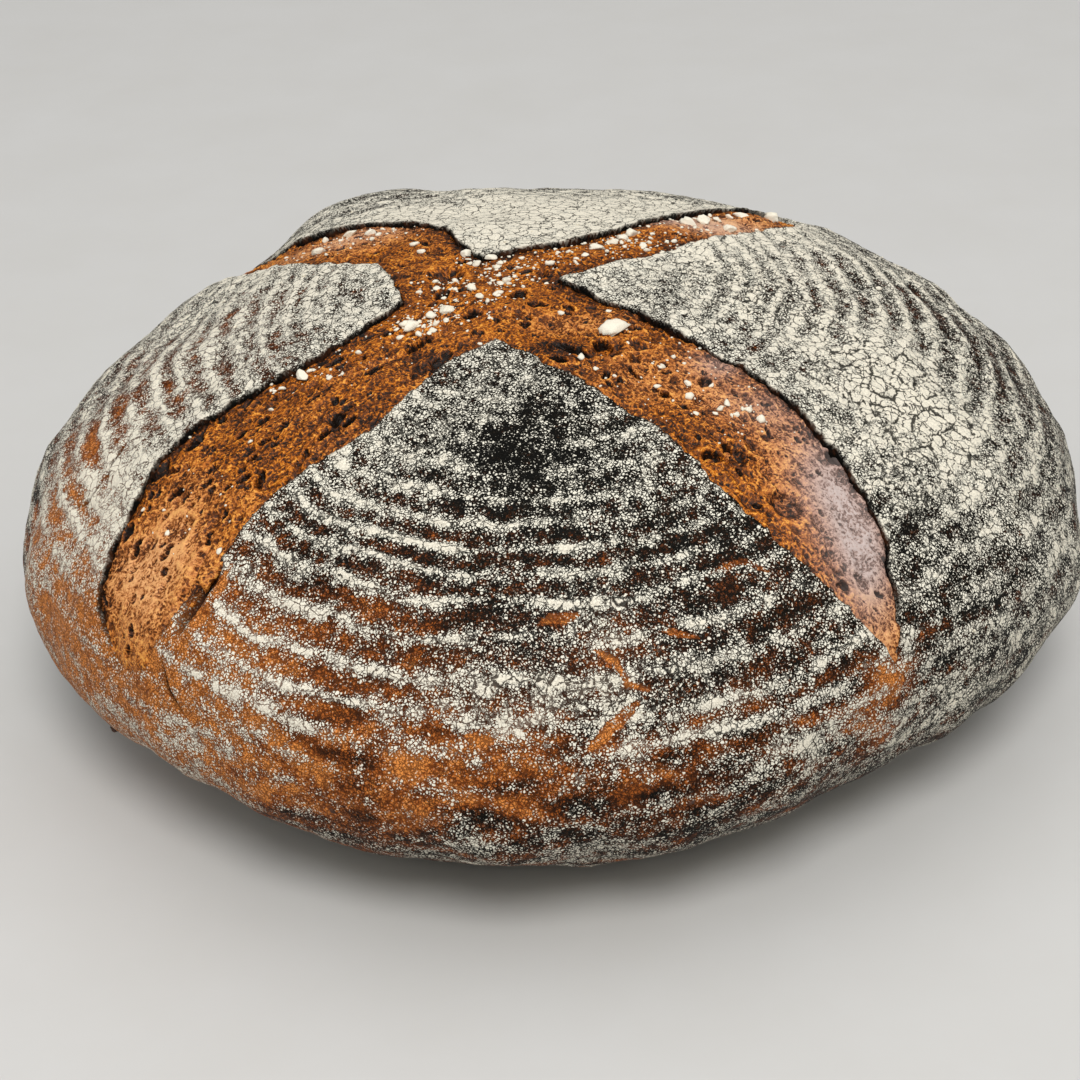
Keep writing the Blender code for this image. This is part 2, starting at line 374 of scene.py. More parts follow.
# Patches of more and less flour, in millimetres: mostly the crust's own flour, but the large patch over the back petal
# at (0, 44) is partly painted light, lighter on top, and the patches that take flour away low on the front are partly
# painted shade
FLOUR_AND_LIGHT_PATCHES = [
    (0, 44, 80, 36, 0.75), (80, -30, 50, 44, 0.27), (92, -44, 26, 26, 0.42), (38, 0, 26, 20, 0.20),
    (-9, -79, 10, 11, -0.44), (-12, -46, 14, 8, 0.08), (0, -106, 34, 16, -0.09), (104, -20, 30, 30, -0.12), (84, -92, 22, 22, 0.04), (8, -62, 14, 10, -0.14), (28, -92, 26, 16, -0.12), (60, -110, 20, 14, -0.10), (-42, -74, 22, 12, 0.13), (12, -118, 16, 7, 0.14),
    (-5, -143, 34, 7, 0.34), (-60, -150, 46, 13, -0.34), (0, -164, 90, 10, -0.42), (100, -100, 30, 22, -0.02),
    (-60, -4, 26, 18, 0.02), (70, -145, 30, 16, 0.10), (-90, -10, 50, 40, 0.14), (-105, -60, 20, 16, 0.12), (-123, -26, 3, 6, -0.45), (-112, -14, 5, 5, -0.3), (-130, -44, 4, 8, -0.3), (-98, -34, 4, 6, -0.22), (-108, -113, 13, 12, -0.60), (-92, -128, 14, 16, -0.22),
    (-112, -50, 16, 16, 0.38), (88, -130, 6, 6, -0.5), (-75, -130, 12, 6, 0.20), (-112, -132, 28, 20, 0.20), (60, -134, 34, 14, -0.12),
    (-138, -84, 18, 24, -0.50), (-165, -70, 22, 50, -0.15), (-50, -122, 40, 12, -0.10), (40, -100, 22, 14, -0.10),
]
WARM_PATCHES = [
    (-8, -78, 20, 20, -0.4), (-56, -101, 20, 12, -0.15), (-62, -112, 46, 30, 0.34), (-105, -120, 30, 28, 0.80), (88, -132, 12, 16, 0.5),
    (-50, -152, 60, 20, 0.46), (-20, -200, 120, 26, 0.26), (70, 0, 50, 50, 0.10), (25, -156, 50, 18, 0.20), (-138, -74, 28, 42, 1.05), (-166, -80, 30, 50, 0.5), (-122, -25, 5, 8, 0.12),
    (-95, -10, 50, 50, 0.36), (70, -142, 34, 20, 0.20), (14, -130, 14, 9, 0.25), (100, -92, 26, 22, -0.12),
]
# Streaks where the crust tore late and stayed bare: (points in millimetres, half width)
BARE_STREAKS = [
    ([(-78, -94), (-86, -103), (-92, -108), (-99, -114)], 2.0),
    ([(6, -153), (12, -148), (18, -143)], 1.8),
    ([(8, -131), (13, -134), (16, -139), (21, -140)], 1.0),
    ([(-4, -124), (4, -123)], 1.6),
    ([(36, -112), (44, -108), (50, -110)], 1.0),
    ([(24, -127), (33, -128)], 0.8),
    ([(-24, -148), (-18, -150)], 1.4),
]
FLOUR_BASE, WARM_BASE = 0.44, 0.30
# Bands of less and of more flour round the flank: (length along the skin and reach in millimetres, amount)
FLOUR_BANDS = [(193, 15, -0.22), (216, 4, 0.60), (230, 9, -0.10)]


def ring_turns(x, y):
    """How many turns of cane lie inside each place; whole numbers are ridges."""
    direction = np.degrees(np.arctan2(y, x)) % 360
    start, full, ending, end = FRONT_DIRECTIONS
    front = smooth_step(start, full, direction) * smooth_step(end, ending, direction)
    front *= smooth_step(0.008, 0.03, np.hypot(x, y))
    centred = np.hypot(x, y - FRONT_CENTRE_Y * MM) / MM
    of_front = np.interp(centred, FRONT_RIDGES, np.arange(len(FRONT_RIDGES)))
    of_others = np.interp(np.hypot(x, y) / MM, OUTER_RIDGES, np.arange(len(OUTER_RIDGES)))
    turns = of_front * front + (of_others - 2) * (1 - front)
    return turns + 0.20 * noise(x, y, 0.024, 21) + 0.12 * noise(x, y, 0.009, 22)


def ring_strength(x, y):
    length, direction = np.hypot(x, y), np.arctan2(y, x)
    fade = smooth_step(0.025, 0.045, length) * (1 - 0.75 * smooth_step(0.150, 0.185, length))
    streaks = 0.60 * noise(direction * 0.10, length, 0.015, 23) + 0.60 * noise(direction * 0.06, length, 0.007, 24)
    return np.clip((RING_BASE + patches(x, y, RING_PATCHES)) * (1 + streaks), 0, 1.15) * fade


def creases(x, y):
    """Depth of the splits in the crust, and how open they are from 0 to 1."""
    depth, openness = np.zeros_like(x), np.zeros_like(x)
    for points, half_width, most in CREASES:
        far, along = line_distance(x, y, points)
        taper = np.sqrt(np.clip(4 * along * (1 - along), 0.05, 1))
        cut = np.exp(-((far / (half_width * MM * taper)) ** 2))
        depth += most * MM * taper * cut
        openness = np.maximum(openness, cut * taper)
    return depth, openness


def bareness(x, y):
    """1 on the bare streaks, 0 away from them."""
    most = np.zeros_like(x)
    for points, half_width in BARE_STREAKS:
        far, along = line_distance(x, y, points)
        reach = half_width * MM * np.sqrt(np.clip(4 * along * (1 - along), 0.15, 1))
        most = np.maximum(most, smooth_step(1.15, 0.7, far / reach + 0.3 * noise(x, y, 0.0022, 46)))
    return most


def crust_relief(x, y, distance, half_width):
    """How far the crust's skin stands out of the plain form."""
    lip = ear_share(x, y, half_width) * LIP_RISE * np.exp(-np.maximum(distance, 0) / LIP_REACH)
    grooves = RING_DEPTH * ring_strength(x, y) * np.abs(np.sin(pi * ring_turns(x, y)))
    uneven = sum(rise * noise(x, y, size, seed) for size, rise, seed in UNEVENNESS)
    fade = smooth_step(BASE_LENGTH, BASE_LENGTH - 0.012, np.hypot(x, y))
    return (lumps(x, y) + lip - grooves + uneven - creases(x, y)[0]) * fade


# The torn side of the crust: millimetres inside the edge, then the shares of lip, wall and bed there,
# and how far the side leans back under the ear
WALL_STEPS = [0, 0.4, 0.9, 1.8, 3.4]
WALL_LIP_SHARES = [1, 0.85, 0.3, 0, 0]
WALL_SHARES = [0, 0, 0.3, 1, 0]
WALL_BED_SHARES = [0, 0, 0, 0.1, 1]
WALL_LEANS = [0, 0.2, 0.8, 1.5, 1.8]
CUT_DEPTH = 0.0030


def crust_points(x, y):
    """Places of the crust's points, with the edge of each petal standing over the score."""
    distance, half_width = score_distance(x, y)
    share, inside = ear_share(x, y, half_width), -distance / MM
    lean = np.interp(inside, WALL_STEPS, WALL_LEANS) * MM * np.sqrt(share)
    near = distance < 0
    moved = np.stack([x, y], axis=1)
    moved[near] += lean[near, None] * away_from_score(x[near], y[near])
    place, outward = form(moved[:, 0], moved[:, 1])
    skin = crust_relief(x, y, np.maximum(distance, 0), half_width)
    lip = share * LIP_RISE
    side = skin - lip + lip * np.interp(inside, WALL_STEPS, WALL_LIP_SHARES)
    side -= share * CUT_DEPTH * np.interp(inside, WALL_STEPS, WALL_SHARES)
    side -= open_share(half_width) * BED_DEPTH * np.interp(inside, WALL_STEPS, WALL_BED_SHARES)
    height = np.where(near, side, skin)
    for sheet in FLOUR_SHEETS:
        height -= CRUST_SINK * smooth_step(0.5, 1.0, sheet_share(x, y, distance, sheet))
    return place + outward * height[:, None], distance, half_width


# The flour over the two petals that show most, as fine sheets of their own: the petal's directions
# from the crossing, in degrees, and how far down it reaches
FLOUR_SHEETS = [(222, 312, 0.168), (-44, 62, 0.150)]
SHEET_FADE = 0.004
CRUST_SINK = 0.0007


def sheet_share(x, y, distance, sheet):
    """1 where the crust is covered by that sheet of flour, falling to 0 at the sheet's border."""
    start, end, lowest = sheet
    direction = np.degrees(np.arctan2(y - CROSSING_Y, x - CROSSING_X))
    middle = (start + end) / 2
    off = np.abs((direction - middle + 180) % 360 - 180) - (end - start) / 2
    out = np.hypot(x - CROSSING_X, y - CROSSING_Y) * np.radians(np.minimum(-off, 60))
    inside = np.minimum(out, np.minimum(distance - 0.0012, lowest - np.hypot(x, y)))
    return smooth_step(0, SHEET_FADE, inside)


def crust_masks(x, y, distance, half_width):
    """What the crust's material reads at each point."""
    clouds = 0.12 * noise(x, y, 0.026, 41) + 0.18 * noise(x, y, 0.009, 42) + 0.10 * noise(x, y, 0.0048, 44)
    # flour, partly painted light on the top and painted shade low on the front
    flour = FLOUR_BASE + patches(x, y, FLOUR_AND_LIGHT_PATCHES) + clouds
    flour += 0.12 * np.exp(-np.maximum(distance, 0) / 0.002) * ear_share(x, y, half_width)
    warm = WARM_BASE + patches(x, y, WARM_PATCHES) + 0.10 * noise(x, y, 0.021, 43)
    length, direction = np.hypot(x, y), np.arctan2(y, x)
    drawn = smooth_step(0.135, 0.155, length)
    flour += 0.34 * drawn * noise(direction * 0.050, length, 0.0050, 48)
    warm += 0.32 * drawn * noise(direction * 0.045, length, 0.0042, 49)
    for middle, reach, amount in FLOUR_BANDS:
        flour += amount * np.exp(-(((length / MM - middle + 4 * noise(x, y, 0.02, 47)) / reach) ** 2))
    split = creases(x, y)[1]
    bare = bareness(x, y)
    # wall marks the torn side under each ear and the open creases, which the material paints dark: dark torn crust and
    # painted shade under the ears and in the creases
    wall = smooth_step(0.0003, -0.0005, distance) * open_share(half_width) * (1 - merged(x, y))
    return {
        "flour": np.clip(flour, 0, 1) * (1 - split) * (1 - 0.85 * bare),
        "warm": np.clip(warm + 0.40 * bare, 0, 1),
        "ring": ring_strength(x, y),
        "turns": ring_turns(x, y),
        "wall": np.maximum(wall, split),
    }


# ---------------------------------------------------------------- meshes


def shaken_grid(spacing, seed, reach):
    """Points of a triangular grid over the flattened loaf, each shaken a little."""
    rows = int(reach / spacing / 0.866) + 2
    column, row = np.meshgrid(np.arange(-rows, rows + 1), np.arange(-rows, rows + 1))
    x = (column + 0.5 * (row % 2)) * spacing
    y = row * spacing * sqrt(3) / 2
    shake = np.random.default_rng(seed).uniform(-0.12, 0.12, (2,) + x.shape) * spacing
    x, y = (x + shake[0]).ravel(), (y + shake[1]).ravel()
    near = np.hypot(x, y) < reach
    return x[near], y[near]


def triangulated(x, y):
    """Triangles over the points, as a Delaunay net."""
    points = [Vector(pair) for pair in zip(x.tolist(), y.tolist())]
    return np.array(delaunay_2d_cdt(points, [], [], 0, 1e-9, False)[2])


def new_object(name, points, faces, material, masks=None):
    """A mesh object that rides on the loaf's body in the place of its CAD solid."""
    mesh = bpy.data.meshes.new(name)
    mesh.from_pydata(np.asarray(points).tolist(), [], [list(map(int, face)) for face in faces])
    mesh.shade_smooth()
    for mask, values in (masks or {}).items():
        mesh.attributes.new(mask, "FLOAT", "POINT").data.foreach_set("value", values.astype(np.float32))
    mesh.materials.append(material)
    piece = bpy.data.objects.new(name, mesh)
    bpy.context.scene.collection.objects.link(piece)
    return piece


EDGE_SPACING, CROWN_SPACING, HIDDEN_SPACING = 0.00058, 0.00113, 0.0030
FRONT_FLANK_SPACING, BACK_FLANK_SPACING, BASE_SPACING = 0.0016, 0.0028, 0.006
BASE_POINTS = 300
FLANK_LENGTH = WIDEST_LENGTH + 0.004


def crust_zone(x, y):
    """0 at the petals' edges and at creases, 1 on open crust, 2 where crumb or flour hides it."""
    distance = score_distance(x, y)[0]
    edge = (distance > -0.0036) & (distance < 0.0013)
    hidden = distance <= -0.0036
    for sheet in FLOUR_SHEETS:
        hidden |= sheet_share(x, y, distance, sheet) > 0.99
    for points, _, _ in CREASES:
        edge |= (line_distance(x, y, points)[0] < 0.0016) & ~hidden
    return np.where(edge, 0, np.where(hidden, 2, 1))


def crust_grid():
    """Skin coordinates of the crust's points above the base, dense where there is most to see."""
    parts = []
    for zone, spacing in enumerate((EDGE_SPACING, CROWN_SPACING, HIDDEN_SPACING)):
        x, y = shaken_grid(spacing, 51 + zone, FLANK_LENGTH)
        chosen = crust_zone(x, y) == zone
        parts.append((x[chosen], y[chosen]))
    for spacing, seed, front in ((FRONT_FLANK_SPACING, 54, True), (BACK_FLANK_SPACING, 55, False)):
        x, y = shaken_grid(spacing, seed, BASE_LENGTH - 0.0012)
        chosen = (np.hypot(x, y) >= FLANK_LENGTH) & ((y < 0.02) == front)
        parts.append((x[chosen], y[chosen]))
    turn = np.arange(BASE_POINTS) / BASE_POINTS * 2 * pi
    parts.append((BASE_LENGTH * np.cos(turn), BASE_LENGTH * np.sin(turn)))
    return np.concatenate([part[0] for part in parts]), np.concatenate([part[1] for part in parts])


def underside(rim):
    """Points inside the base, slightly hollow so that the loaf stands on its rim, and all their faces."""
    x, y = shaken_grid(BASE_SPACING, 56, BASE_RADIUS - 0.003)
    hollow = 0.0006 * smooth_step(BASE_RADIUS, BASE_RADIUS - 0.02, np.hypot(x, y))
    z = hollow * (1 + 0.5 * noise(x, y, 0.02, 57))
    faces = triangulated(np.concatenate([rim[:, 0], x]), np.concatenate([rim[:, 1], y]))
    return np.stack([x, y, z], axis=1), faces[:, ::-1]


def make_crust(material):
    x, y = crust_grid()
    points, distance, half_width = crust_points(x, y)
    masks = crust_masks(x, y, distance, half_width)
    faces = triangulated(x, y)
    rim = np.arange(len(x) - BASE_POINTS, len(x))
    points[rim, 2] = 0
    inner, base_faces = underside(points[rim])
    index = np.concatenate([rim, len(x) + np.arange(len(inner))])
    plain = {"flour": 0.35, "warm": 0.45, "ring": 0.0, "turns": 0.0, "wall": 0.0}
    for mask, value in plain.items():
        masks[mask] = np.concatenate([masks[mask], np.full(len(inner), value)])
    all_points = np.concatenate([points, inner])
    return new_object("crust", all_points, np.concatenate([faces, index[base_faces]]), material, masks)


# ---------------------------------------------------------------- the crumb

CRUMB_SPACING = 0.000415
CRUMB_OVERLAP = 0.0010  # how far the crumb runs on under the crust's edge
LINE_DEGREES = (41, -47)  # the two lines of the cross: front left to back right, and the other
LINE_BLEND = 0.007

# Gas bubbles torn open: (x, y, half length, half width, direction in degrees, depth), in millimetres
HOLES = [
    (-88, -51, 3.4, 2.2, 50, 3.2), (-81, -45, 1.6, 1.2, 40, 1.8), (-94, -58, 1.7, 1.1, 50, 1.8),
    (-100, -62, 1.3, 1.0, 50, 1.5), (-96, -71, 1.5, 1.0, 40, 2.4), (-107, -70, 3.0, 1.7, 60, 2.4),
    (-105, -76, 3.4, 1.2, 62, 2.4), (-90, -80, 1.0, 0.9, 0, 1.3), (-78, -71, 1.4, 1.1, 30, 1.6),
    (-72, -64, 1.8, 1.0, 35, 1.8), (-64, -56, 2.2, 1.3, 35, 2.2), (-79, -79, 1.7, 1.0, 40, 1.7),
    (-84, -83, 2.2, 1.0, 65, 1.9), (-116, -84, 3.6, 0.7, 100, 1.6), (-106, -82, 1.2, 0.9, 0, 1.4),
    (-93, -77, 5.4, 5.0, 30, 0.7), (-52, -34, 3.4, 1.5, 35, 1.9), (-42, -43, 3.0, 1.5, 35, 2.2),
    (-31, -34, 4.6, 1.5, 33, 2.6), (-57, -49, 2.4, 1.2, 38, 1.6), (-25, 0, 5.0, 5.5, 20, 2.6),
    (-20, -11, 2.0, 1.8, 0, 2.4), (-7, 1, 2.2, 1.4, -20, 1.8), (-21, 7, 1.4, 1.4, 0, 1.6),
    (-2, -21, 3.2, 1.8, -10, 2.2), (-5, -30, 1.7, 1.4, 0, 1.6), (6, -43, 6.5, 1.8, -38, 2.6),
    (15, -42, 4.2, 4.4, -40, 2.2), (28, -59, 1.8, 1.5, -45, 3.2), (22, -53, 1.4, 1.1, -45, 1.8),
    (23, -33, 1.3, 1.0, -40, 1.5), (44, -78, 4.2, 3.4, -42, 2.2), (56, -91, 5.4, 4.8, -48, 2.4),
    (65, -79, 1.3, 1.0, -40, 1.3), (69, -73, 2.8, 1.3, -58, 2.0), (65, -104, 2.8, 1.3, -70, 0.5),
    (-55, 35, 2.4, 2.6, -30, 2.0), (-45, 27, 2.2, 2.2, -30, 1.8), (-66, 44, 2.4, 2.0, -30, 1.8),
]
SMALL_HOLES = 260

# Folds where the crumb tore in sheets: (points in millimetres, half width, depth)
CRUMB_FOLDS = [
    ([(-84, -85), (-89, -93), (-97, -102)], 0.9, 1.6),
    ([(60, -86), (63, -93), (66, -100), (68, -110)], 0.6, 1.0),
    ([(-36, -28), (-22, -24), (-6, -24), (8, -36)], 0.7, 0.9),
    ([(-50, -42), (-34, -37), (-24, -30)], 0.8, 1.2),
]

# Paler crumb, in millimetres: the crumb's own paler tone, and a painted highlight at the arms' outer ends
CRUMB_PALE_AND_HIGHLIGHT = [(-102, -86, 16, 15, 1.0), (-90, -72, 12, 10, 0.3), (36, -54, 22, 12, 0.50), (58, -74, 12, 12, 0.45), (8, -30, 12, 6, 0.3),
              (-52, 42, 24, 10, 0.8), (45, 38, 28, 11, 1.1), (82, -115, 8, 12, 1.0)]
# Smooth mauve skin on the crumb: its own smooth skin, with a painted sheen in its pale tint
CRUMB_MAUVE_SHEEN = [(68, -82, 9, 18, 0.9), (76, -100, 8, 14, 1.0), (42, -46, 6, 5, 0.5), (40, 36, 18, 7, 0.5), (52, -60, 10, 8, 0.3), (-52, 42, 14, 6, 0.2)]
# Darker crumb, in millimetres: dark crumb, and painted shade along the front petal's edges
CRUMB_DARK = [(-45, -60, 22, 7, 0.42), (-28, -42, 14, 5, 0.50), (15, -50, 11, 5, 0.35), (26, -63, 8, 5, 0.30), (2, -42, 9, 4, 0.8), (34, -72, 9, 6, 0.35),
              (-66, -46, 14, 5, 0.20), (-76, -64, 14, 12, 0.14), (-10, -8, 16, 14, 0.12)]


def turned(x, y, degrees):
    """Coordinates along and across a line at that angle through the crossing."""
    c, s = cos(radians(degrees)), sin(radians(degrees))
    x, y = x - CROSSING_X, y - CROSSING_Y
    return x * c + y * s, y * c - x * s


def line_share(x, y):
    """1 on the arms of the cross's first line, 0 on those of the second, smooth in between."""
    first, second = (np.abs(turned(x, y, degrees)[1]) for degrees in LINE_DEGREES)
    return smooth_step(-LINE_BLEND, LINE_BLEND, second - first)


def strands(x, y, long, thin, seed):
    """Crests drawn out along the arms, from 0 to 1."""
    found = []
    for degrees in LINE_DEGREES:
        along, across = turned(x, y, degrees)
        found.append(ridges(along * thin / long, across, thin, seed))
    share = line_share(x, y)
    return found[0] * share + found[1] * (1 - share)


# Nets of bubbles in the crumb: (size, stretch along the arm, depth, how few are deep, seed)
BUBBLE_NETS = [(0.0038, 1.6, 0.0012, 5.0, 73), (0.0019, 1.5, 0.0006, 3.0, 76), (0.0010, 1.2, 0.00016, 1.0, 79)]


def bubbles(x, y):
    """How deep the torn bubbles are, their openness from 0 to 1, and the thin walls between them."""
    depth, opened, walls = np.zeros_like(x), np.zeros_like(x), np.zeros_like(x)
    share = line_share(x, y)
    for size, stretch, most, few, seed in BUBBLE_NETS:
        for degrees, part in zip(LINE_DEGREES, (share, 1 - share)):
            along, across = turned(x, y, degrees)
            gap, own = cells(along / stretch, across, size, seed)
            deep = own ** few * part
            depth += most * deep * smooth_step(0.02, 0.28, gap)
            # opened marks the deep bubbles, painted darker as painted shade; walls marks the walls between them,
            # painted lighter as a painted highlight
            opened = np.maximum(opened, deep * smooth_step(0.06, 0.22, gap))
            walls = np.maximum(walls, part * smooth_step(0.08, 0.01, gap) * (0.35 + 0.65 * deep))
    return depth, opened, walls


def scattered_holes():
    """Small bubbles at random all over the score."""
    random = np.random.default_rng(61)
    x, y = random.uniform(-0.115, 0.09, 9000), random.uniform(-0.12, 0.07, 9000)
    distance = score_distance(x, y)[0]
    inside = np.flatnonzero(distance < -0.003)[:SMALL_HOLES]
    deep = 0.8 - 0.5 * np.clip(patches(x, y, CRUMB_MAUVE_SHEEN), 0, 1)
    degrees = np.where(line_share(x, y) > 0.5, *LINE_DEGREES) + random.normal(0, 25, 9000)
    half_length = random.gamma(3.0, 0.3, 9000) + 0.5
    rows = []
    for i in inside:
        flat = random.uniform(0.4, 0.8)
        rows.append((x[i] / MM, y[i] / MM, half_length[i], half_length[i] * flat, degrees[i], half_length[i] * deep[i]))
    return rows


def dig_holes(x, y, height):
    """Lowers the height in every bubble and raises its rim. Returns where the bubbles and their rims are."""
    hollow, rim = np.zeros_like(x), np.zeros_like(x)
    ragged = 0.14 * noise(x, y, 0.0016, 62)
    for middle_x, middle_y, half_length, half_width, degrees, depth in HOLES + scattered_holes():
        reach = 1.5 * max(half_length, half_width) * MM
        near = (np.abs(x - middle_x * MM) < reach) & (np.abs(y - middle_y * MM) < reach)
        c, s = cos(radians(degrees)), sin(radians(degrees))
        off_x, off_y = x[near] / MM - middle_x, y[near] / MM - middle_y
        out = np.hypot((off_x * c + off_y * s) / half_length, (off_y * c - off_x * s) / half_width)
        out = out + ragged[near]
        bowl = 1 - smooth_step(0.35, 1.0, out)
        edge = np.exp(-(((out - 1.10) / 0.15) ** 2))
        height[near] += 0.00025 * edge - depth * MM * bowl
        # hollow marks a bubble's inside for painted shade, rim its rim for a painted highlight
        hollow[near] = np.maximum(hollow[near], (1 - smooth_step(0.7, 1.0, out)) * min(1, depth / (1.1 * half_width)))
        rim[near] = np.maximum(rim[near], edge)
    return hollow, rim


def crumb_relief(x, y, distance, half_width):
    """How far the crumb stands out of the plain form, and the masks from which its material paints shade into the
    bubbles and highlights onto the crests.
    """
    share = ear_share(x, y, half_width)
    inside = np.maximum(-distance, 0)
    height = lumps(x, y) - share * WALL_DEPTH * np.exp(-np.maximum(inside - 0.0012, 0) / WALL_REACH)
    wander_x, wander_y = 0.0011 * noise(x, y, 0.006, 63), 0.0011 * noise(x, y, 0.006, 64)
    coarse = strands(x + wander_x, y + wander_y, 0.012, 0.0030, 65)
    fine = strands(x + wander_x, y + wander_y, 0.005, 0.0010, 66)
    depth, opened, walls = bubbles(x + wander_x, y + wander_y)
    soft = 1 - np.clip(0.50 * patches(x, y, CRUMB_PALE_AND_HIGHLIGHT) + 0.25 * patches(x, y, CRUMB_MAUVE_SHEEN), 0, 0.5)
    soft *= 1 - 0.7 * merged(x, y)
    height += soft * (0.0004 * coarse + 0.00012 * fine - depth - 0.0001)
    height += 0.0007 * noise(x, y, 0.013, 68)
    for points, half_width, most in CRUMB_FOLDS:
        height -= most * MM * np.exp(-((line_distance(x, y, points)[0] / (half_width * MM)) ** 2))
    hollow, rim = dig_holes(x, y, height)
    walls = np.maximum(walls, 0.9 * rim)
    height -= 0.0011 * smooth_step(0.0008, -CRUMB_OVERLAP, inside - np.maximum(distance, 0))
    # hollow and opened are for painted shade in the bubbles; walls, coarse and fine are for painted highlights on the
    # crests
    looks = {"hollow": hollow, "opened": opened * soft, "walls": walls, "coarse": coarse, "fine": fine}
    return np.maximum(height, -0.0082), looks


def crumb_masks(x, y, distance, half_width, looks):
    """What the crumb's material reads at each point."""
    share = ear_share(x, y, half_width)
    # darker along the ears: burnt crumb and painted shade under the ears
    burnt_and_shade = np.exp(np.minimum(distance, 0) / 0.0026) * smooth_step(0.3, 0.7, share)
    burnt_and_shade *= 0.80 + 0.9 * noise(x, y, 0.006, 74)
    return looks | {
        "pale_and_highlight": np.clip(patches(x, y, CRUMB_PALE_AND_HIGHLIGHT) + 0.15 * noise(x, y, 0.012, 71), 0, 1),
        "mauve_sheen": np.clip(patches(x, y, CRUMB_MAUVE_SHEEN), 0, 1),
        "burnt_and_shade": np.clip(burnt_and_shade + patches(x, y, CRUMB_DARK) + 0.12 * noise(x, y, 0.009, 72), 0, 1),
        "line": line_share(x, y),
    }


def make_crumb(material):
    x, y = shaken_grid(CRUMB_SPACING, 58, 0.162)
    distance, half_width = score_distance(x, y)
    kept = (distance < CRUMB_OVERLAP) & (half_width > 0.0016)
    x, y, distance, half_width = x[kept], y[kept], distance[kept], half_width[kept]
    faces = triangulated(x, y)
    sides = [np.hypot(x[faces[:, i]] - x[faces[:, i - 1]], y[faces[:, i]] - y[faces[:, i - 1]]) for i in range(3)]
    faces = faces[np.max(sides, axis=0) < 2 * CRUMB_SPACING]
    height, looks = crumb_relief(x, y, distance, half_width)
    place, outward = form(x, y)
    masks = crumb_masks(x, y, distance, half_width, looks)
    crumb = new_object("crumb", place + outward * height[:, None], faces, material, masks)
    close_below(crumb, 0.0012)
    return crumb


def close_below(piece, depth):
    """Closes an open sheet into a solid with a plain skin below its border."""
    shape = bmesh.new()
    shape.from_mesh(piece.data)
    loose = [vertex for vertex in shape.verts if not vertex.link_faces]
    bmesh.ops.delete(shape, geom=loose, context="VERTS")
    border = [edge for edge in shape.edges if edge.is_boundary]
    walls = bmesh.ops.extrude_edge_only(shape, edges=border)["geom"]
    lower = [item for item in walls if isinstance(item, bmesh.types.BMVert)]
    for vertex in lower:
        vertex.co.z -= depth
    rims = [item for item in walls if isinstance(item, bmesh.types.BMEdge) and item.is_boundary]
    bmesh.ops.triangle_fill(shape, use_beauty=False, edges=rims)
    shape.to_mesh(piece.data)
    shape.free()


# ---------------------------------------------------------------- flour: plates, lumps and loose crumbs

# Where the dried flour cracked into plates of two sizes: soft ovals in millimetres
LARGE_PLATES = [(96, -44, 17, 24, 1.0), (82, -36, 10, 9, 0.5)]
SMALL_PLATES = [
    (76, -42, 18, 14, 0.8), (86, -76, 14, 16, 0.9), (110, -16, 14, 18, 0.7), (60, -10, 16, 12, 0.8),
    (42, 2, 12, 9, 0.8), (-4, -142, 30, 6, 0.9), (12, -119, 15, 7, 0.8), (28, -137, 16, 6, 0.8),
    (-30, -66, 16, 12, 0.6), (-52, -100, 30, 20, 0.4), (-30, -128, 40, 10, 0.4),
]
LARGE_PLATE, SMALL_PLATE, GRAIN_CELL = 0.0054, 0.0027, 0.0013
PLATE_RISE, GRAIN_RISE = 0.00030, 0.00012
SHEET_SPACING = 0.00058
SHEET_BORDER = 0.0003

# The biggest lumps of flour on the crumb: (x, y, length), in millimetres
BIG_LUMPS = [
    (17, -34, 7.0), (20, -39, 1.6), (16, -25, 1.4), (4, -25, 1.9), (31, -45, 1.6), (28, -48, 1.8), (34, -54, 2.0),
    (34, -59, 2.4), (8, -47, 2.0), (43, -61, 2.3), (40, -65, 1.6), (45, -65, 1.5), (48, -63, 2.1), (35, -66, 1.4),
    (-60, -38, 3.6), (-65, -41, 2.1), (-68, -40, 1.4), (-68, -47, 1.7), (-53, -42, 1.6), (-46, -33, 1.6),
    (-33, -25, 5.2), (-28, -23, 2.8), (-24, -21, 4.0), (-20, 11, 3.2), (-17, 5, 2.8), (-12, -15, 2.0),
    (-27, -8, 2.2), (-18, -10, 2.6), (-16, -16, 2.4), (-34, 24, 2.6), (-31, -30, 2.0), (2, -1, 2.6), (4, 8, 2.0),
    (24, 20, 4.2), (21, 17, 3.4), (18, 14, 3.6), (14, 9, 3.4), (15, 0, 2.2), (11, 4, 2.0), (28, 15, 1.6),
    (40, 34, 4.6), (44, 37, 4.6), (48, 41, 3.2), (52, 46, 2.6), (56, 49, 4.4), (51, 35, 3.4), (54, 33, 2.6),
    (65, 53, 4.4), (-53, 45, 3.8), (-47, 42, 3.0), (-61, 50, 2.4), (-56, 55, 2.6), (-62, 36, 4.0), (-66, 54, 2.0),
]
# Where the small ones lie: (x, y, reach in x, reach in y, how many)
LUMP_FIELDS = [
    (-20, -12, 14, 16, 170), (-30, -25, 10, 5, 130), (22, 14, 20, 8, 160), (-14, 2, 9, 12, 60), (44, 34, 14, 10, 80),
    (-50, 42, 20, 10, 90), (-55, -38, 16, 8, 50), (30, -48, 20, 14, 60), (46, -64, 10, 8, 30),
    (-90, -75, 18, 18, 25), (0, 0, 16, 8, 60),
]
LUMP_KNOBS = [(0.9, 0.26), (0.42, 0.20), (0.2, 0.10)]  # size and rise, as shares of the lump
LUMP_CUTS = 5  # flat breaks on a lump
CRUST_SPECKS = 160
# Charred crumbs at the loaf's foot: (x, y, length), in millimetres
BURNT_CRUMBS = [(-155, -104, 2.2), (-66, -160, 1.6), (34, -166, 1.8)]


